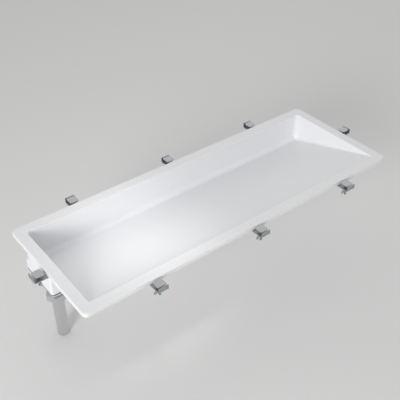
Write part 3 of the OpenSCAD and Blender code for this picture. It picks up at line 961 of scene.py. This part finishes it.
stud = {
    "plate": 24 * mm, "plateThick": 2 * mm, "plateCorner": 4 * mm, "plateRound": 0.4 * mm,
    "length": 34 * mm, "threadPitch": 1 * mm, "threadDepth": 0.55 * mm, "tip": 0.8 * mm,
    # fillet of the weld at the stud's foot, in mm out and mm down
    "fillet": ((1.2, 0.0), (0.7, 0.25), (0.3, 0.6), (0.0, 1.2)),
    # the thread is drawn up to this far into the bracket and the nut that hide the rest
    "hiddenStart": 1 * mm, "perCorner": 8, "plateSteps": 2, "rowsPerTurn": 6, "firstRow": 8,
}


def studMesh():
    # plate, a weld fillet, then the stud, which is threaded where it can be seen
    half, corner, perCorner = stud["plate"] / 2, stud["plateCorner"], stud["perCorner"]
    thick, radius = stud["plateThick"], clip["studRadius"]
    rings = plateRings(lambda inset: roundedPlan(half - inset, half - inset, corner - inset,
                                                 perCorner=perCorner),
                       0, -thick, stud["plateRound"], stud["plateSteps"])
    circle = roundedPlan(1, 1, 1, perCorner=perCorner)
    for grow, drop in stud["fillet"]:
        rings.append([p * (radius + grow * mm) + Vector((0, 0, -thick - drop * mm)) for p in circle])
    bottom = -thick - stud["length"]
    hiddenTop = -basin["flangeThick"] - stud["hiddenStart"]
    hiddenEnd = wingTop - clip["hubHeight"] + stud["hiddenStart"]
    rows = int(stud["length"] / stud["threadPitch"] * stud["rowsPerTurn"])
    for k in range(stud["firstRow"], rows + 1):
        height = -thick - stud["length"] * k / rows
        if hiddenEnd < height < hiddenTop:
            continue
        taper = max(0.0, bottom + stud["tip"] - height)
        ring = []
        for p in circle:
            spot = p * (radius - max(threadDip(height, math.atan2(p.y, p.x), stud), taper))
            ring.append(Vector((spot.x, spot.y, height)))
        rings.append(ring)
    return skinRings(rings)


clipStuds = toObject(copies(studMesh(), studPlaces), "clipStuds")
dress(clipStuds, zinc, "zinc_steel", "root", "clip_studs")


wingNut = {
    "hubTop": 6 * mm, "hubEnd": 5 * mm, "hubRound": 0.5 * mm, "topChamfer": 0.15 * mm,
    "waist": 0.1 * mm, "clearance": 0.05 * mm, "boreChamfer": 0.3 * mm,
    "span": 32 * mm, "wingThick": 2.2 * mm, "wingRound": 0.8 * mm, "tipRadius": 4.5 * mm,
    # outline of a wing above and below its round tip, in mm from the axis and from the top
    "upper": ((3.2, -1.2), (5.8, -1.2), (7.4, -2.2)), "tipArc": (110, -115),
    "lower": ((7.2, -10.6), (5.2, -8.4), (3.2, -7.6)),
    "steps": 40, "boreSteps": 32, "tipSteps": 14,
}


def wingNutMesh():
    # a hub with two wings, whose tips stand a little lower than the hub
    height, top, end = clip["hubHeight"], wingNut["hubTop"], wingNut["hubEnd"]
    soft, chamfer, waist = wingNut["hubRound"], wingNut["topChamfer"], wingNut["waist"]
    bore = clip["studRadius"] + wingNut["clearance"]
    mouth = bore + wingNut["boreChamfer"]
    profile = [(mouth, 0), (top - soft, 0), (top - chamfer, -chamfer), (top, -soft),
               (end + waist, -height + 2 * soft), (end - waist, -height + soft),
               (end - soft, -height), (mouth, -height)]
    hub = toObject(lathe(profile, wingNut["steps"], loop=False), "hub")
    tip = wingNut["tipRadius"]
    tipCentre = wingNut["span"] / 2 - tip
    outline = [(u * mm, v * mm) for u, v in wingNut["upper"]]
    outline += arcPoints(tipCentre, -height, tip, *wingNut["tipArc"], wingNut["tipSteps"])
    outline += [(u * mm, v * mm) for u, v in wingNut["lower"]]
    for turn in (90, 270):
        wing = softPlate(outline, wingNut["wingThick"], wingNut["wingRound"])
        wing.transform(Matrix.Rotation(math.radians(turn), 4, "Z"))
        combine(hub, wing, "UNION")
    combine(hub, rod(bore, past, -height - past, wingNut["boreSteps"]), "DIFFERENCE")
    return meshOf(hub)


nutPlaces = [place @ Matrix.Translation((0, 0, wingTop)) for place in studPlaces]
wingNuts = toObject(copies(wingNutMesh(), nutPlaces), "wingNuts")
dress(wingNuts, zinc, "zinc_steel", "root", "clip_wing_nuts", sharpAngle=35)


# CAD nodes whose shape is already right: materials given, and edges sharper than an angle
# rounded by so many mm
kept = {
    "sump_gasket": (epdm, 0.3), "tailpiece_seal": (epdm, 0.3), "cover_feet": (silicone, 0.25),
    "clip_washers": (zinc, 0.25),
}
keptAngle = 40
for name, (material, edge) in kept.items():
    node = nodes[name]
    for slot in node.material_slots:
        slot.material = material
    weld = node.modifiers.new("weld", "WELD")
    weld.merge_threshold = samePoint["rounding"]
    bevel = node.modifiers.new("bevel", "BEVEL")
    bevel.width = edge * mm
    bevel.segments = edgeSegments
    bevel.limit_method = "ANGLE"
    bevel.angle_limit = math.radians(keptAngle)
    weighNormals(node)
print("CAD nodes dressed:", len(kept))


# floor, light and camera
drainEndLamp = {"place": (-3.4, -1.9, 1.3), "aim": (-0.1, 0.0, -0.03), "size": 1.6, "spread": 70}
stage = {
    "floorColour": "E6E6E5", "floorRoughness": 0.7, "floorHalf": 6.0,
    # the sky's level, and how much it brightens towards +X, +Y and +Z
    "skyLevel": 0.575, "skyLean": (0.17, 0.24, 0.0),
    # round softboxes: the first is low, beyond the drain end, and the second is a faint one in
    # the same place, the only one that shows in gloss and metal. The third hangs in front of
    # the ramp, and its narrow beam lights a soft pool there
    "softboxes": {
        "drainEndSoftbox": {**drainEndLamp, "power": 12.9, "mirrored": False},
        "glintSoftbox": {**drainEndLamp, "power": 4.0, "mirrored": True},
        "rampSoftbox": {"place": (-0.35, -0.35, 1.0), "aim": (-0.24, 0.0, -0.045), "size": 0.15,
                        "spread": 26, "power": 0.1, "mirrored": False},
    },
}


def makeFloor():
    plan = [Vector((sx * stage["floorHalf"], sy * stage["floorHalf"], cadBounds[0].z))
            for sx, sy in ((-1, -1), (1, -1), (1, 1), (-1, 1))]
    mesh = bmesh.new()
    mesh.faces.new([mesh.verts.new(p) for p in plan])
    floor = toObject(mesh, "floor")
    material, shader, _ = newMaterial("paintedFloor", stage["floorColour"], stage["floorRoughness"])
    # seen from below, the floor isn't there
    below = addNode(material, "ShaderNodeNewGeometry").outputs["Backfacing"]
    clear = addNode(material, "ShaderNodeBsdfTransparent").outputs["BSDF"]
    mix = addNode(material, "ShaderNodeMixShader", {}, {0: below, 1: shader.outputs["BSDF"], 2: clear})
    connect(material, mix.outputs["Shader"], material.node_tree.nodes["Material Output"], "Surface")
    floor.data.materials.append(material)


def makeSoftbox(name, place, aim, size, spread, power, mirrored):
    lamp = bpy.data.lights.new(name, "AREA")
    lamp.shape = "DISK"
    lamp.size = size
    lamp.spread = math.radians(spread)
    lamp.energy = power
    item = bpy.data.objects.new(name, lamp)
    scene.collection.objects.link(item)
    item.location = place
    item.rotation_euler = (Vector(aim) - Vector(place)).to_track_quat("-Z", "Y").to_euler()
    item.visible_camera = False
    item.visible_glossy = mirrored


def makeSky():
    world = bpy.data.worlds.new("softSky")
    world.use_nodes = True
    scene.world = world
    direction = addNode(world, "ShaderNodeTexCoord").outputs["Generated"]
    lean = addNode(world, "ShaderNodeVectorMath", {"operation": "DOT_PRODUCT", 1: stage["skyLean"]},
                   {0: direction}).outputs["Value"]
    level = addNode(world, "ShaderNodeMath", {"operation": "ADD", 1: stage["skyLevel"]}, {0: lean})
    background = world.node_tree.nodes["Background"]
    background.inputs["Color"].default_value = (1, 1, 1, 1)
    connect(world, level.outputs["Value"], background, "Strength")


makeFloor()
for softboxName, softbox in stage["softboxes"].items():
    makeSoftbox(softboxName, **softbox)
makeSky()
scene.view_settings.view_transform = "Standard"

camera = {"place": (-0.8752, -1.0675, 1.0253), "forward": (0.4902, 0.6256, -0.6070),
          "lens": 60.08, "sensor": 36, "nearest": 0.02}
cameraData = bpy.data.cameras.new("camera")
cameraData.lens = camera["lens"]
cameraData.sensor_width = camera["sensor"]
cameraData.clip_start = camera["nearest"]
cameraItem = bpy.data.objects.new("camera", cameraData)
scene.collection.objects.link(cameraItem)
cameraItem.location = camera["place"]
cameraItem.rotation_euler = Vector(camera["forward"]).to_track_quat("-Z", "Y").to_euler()
scene.camera = cameraItem
print("stage ready")
